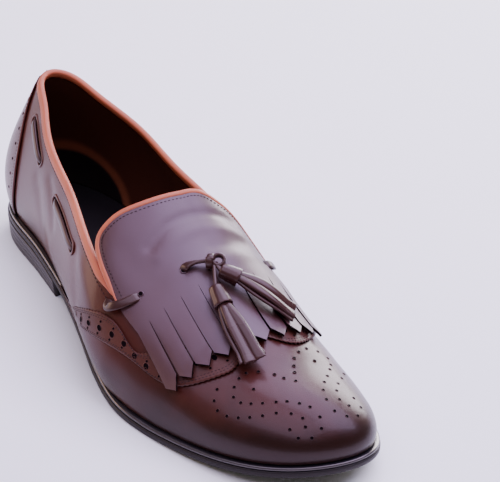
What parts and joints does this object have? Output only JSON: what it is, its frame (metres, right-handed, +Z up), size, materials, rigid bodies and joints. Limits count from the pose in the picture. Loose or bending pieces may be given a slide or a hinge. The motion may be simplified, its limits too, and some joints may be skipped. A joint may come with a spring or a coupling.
{
  "type": "leather loafer",
  "caption": "Leather tassel loafer for the right foot: low-cut upper with a fringed flap over the instep, a perforated band, laced sides and a stacked heel.",
  "frame": {"origin": "on the floor under the middle of the outsole", "axes": "+X from heel to toe, +Y towards the wearer's inner side, +Z up"},
  "size_m": [0.2962, 0.1074, 0.0923],
  "materials": {
    "upper_leather": "dark red-brown polished calf",
    "band_leather": "dark red-brown polished calf, a little lighter",
    "binding": "satin tan with an orange cast",
    "lace_leather": "satin dark brown",
    "tassel_leather": "satin dark brown",
    "insole": "matt, almost black",
    "outsole": "black edge dressing, waxed",
    "welt": "black edge dressing, polished",
    "heel": "dark stacked leather, satin"
  },
  "bodies": {
    "root": {"outsole": "outsole", "welt": "welt", "heel": "heel", "insole": "insole", "upper": "upper_leather", "heel_counter": "upper_leather", "brogue_band": "band_leather", "kiltie": "upper_leather", "collar_binding": "binding", "tongue_binding": "binding", "lace_bar_back_outer": "lace_leather", "lace_bar_front_outer": "lace_leather", "lace_bar_back_inner": "lace_leather", "lace_bar_front_inner": "lace_leather", "lace_loop_outer": "lace_leather", "lace_loop_inner": "lace_leather", "lace_tie": "lace_leather", "lace_knot": "lace_leather", "tassel_cord_inner": "lace_leather", "tassel_cord_outer": "lace_leather", "tassel_cap_inner": "tassel_leather", "tassel_cap_outer": "tassel_leather", "tassel_strips_inner": "tassel_leather", "tassel_strips_outer": "tassel_leather"}
  },
  "joints": []
}
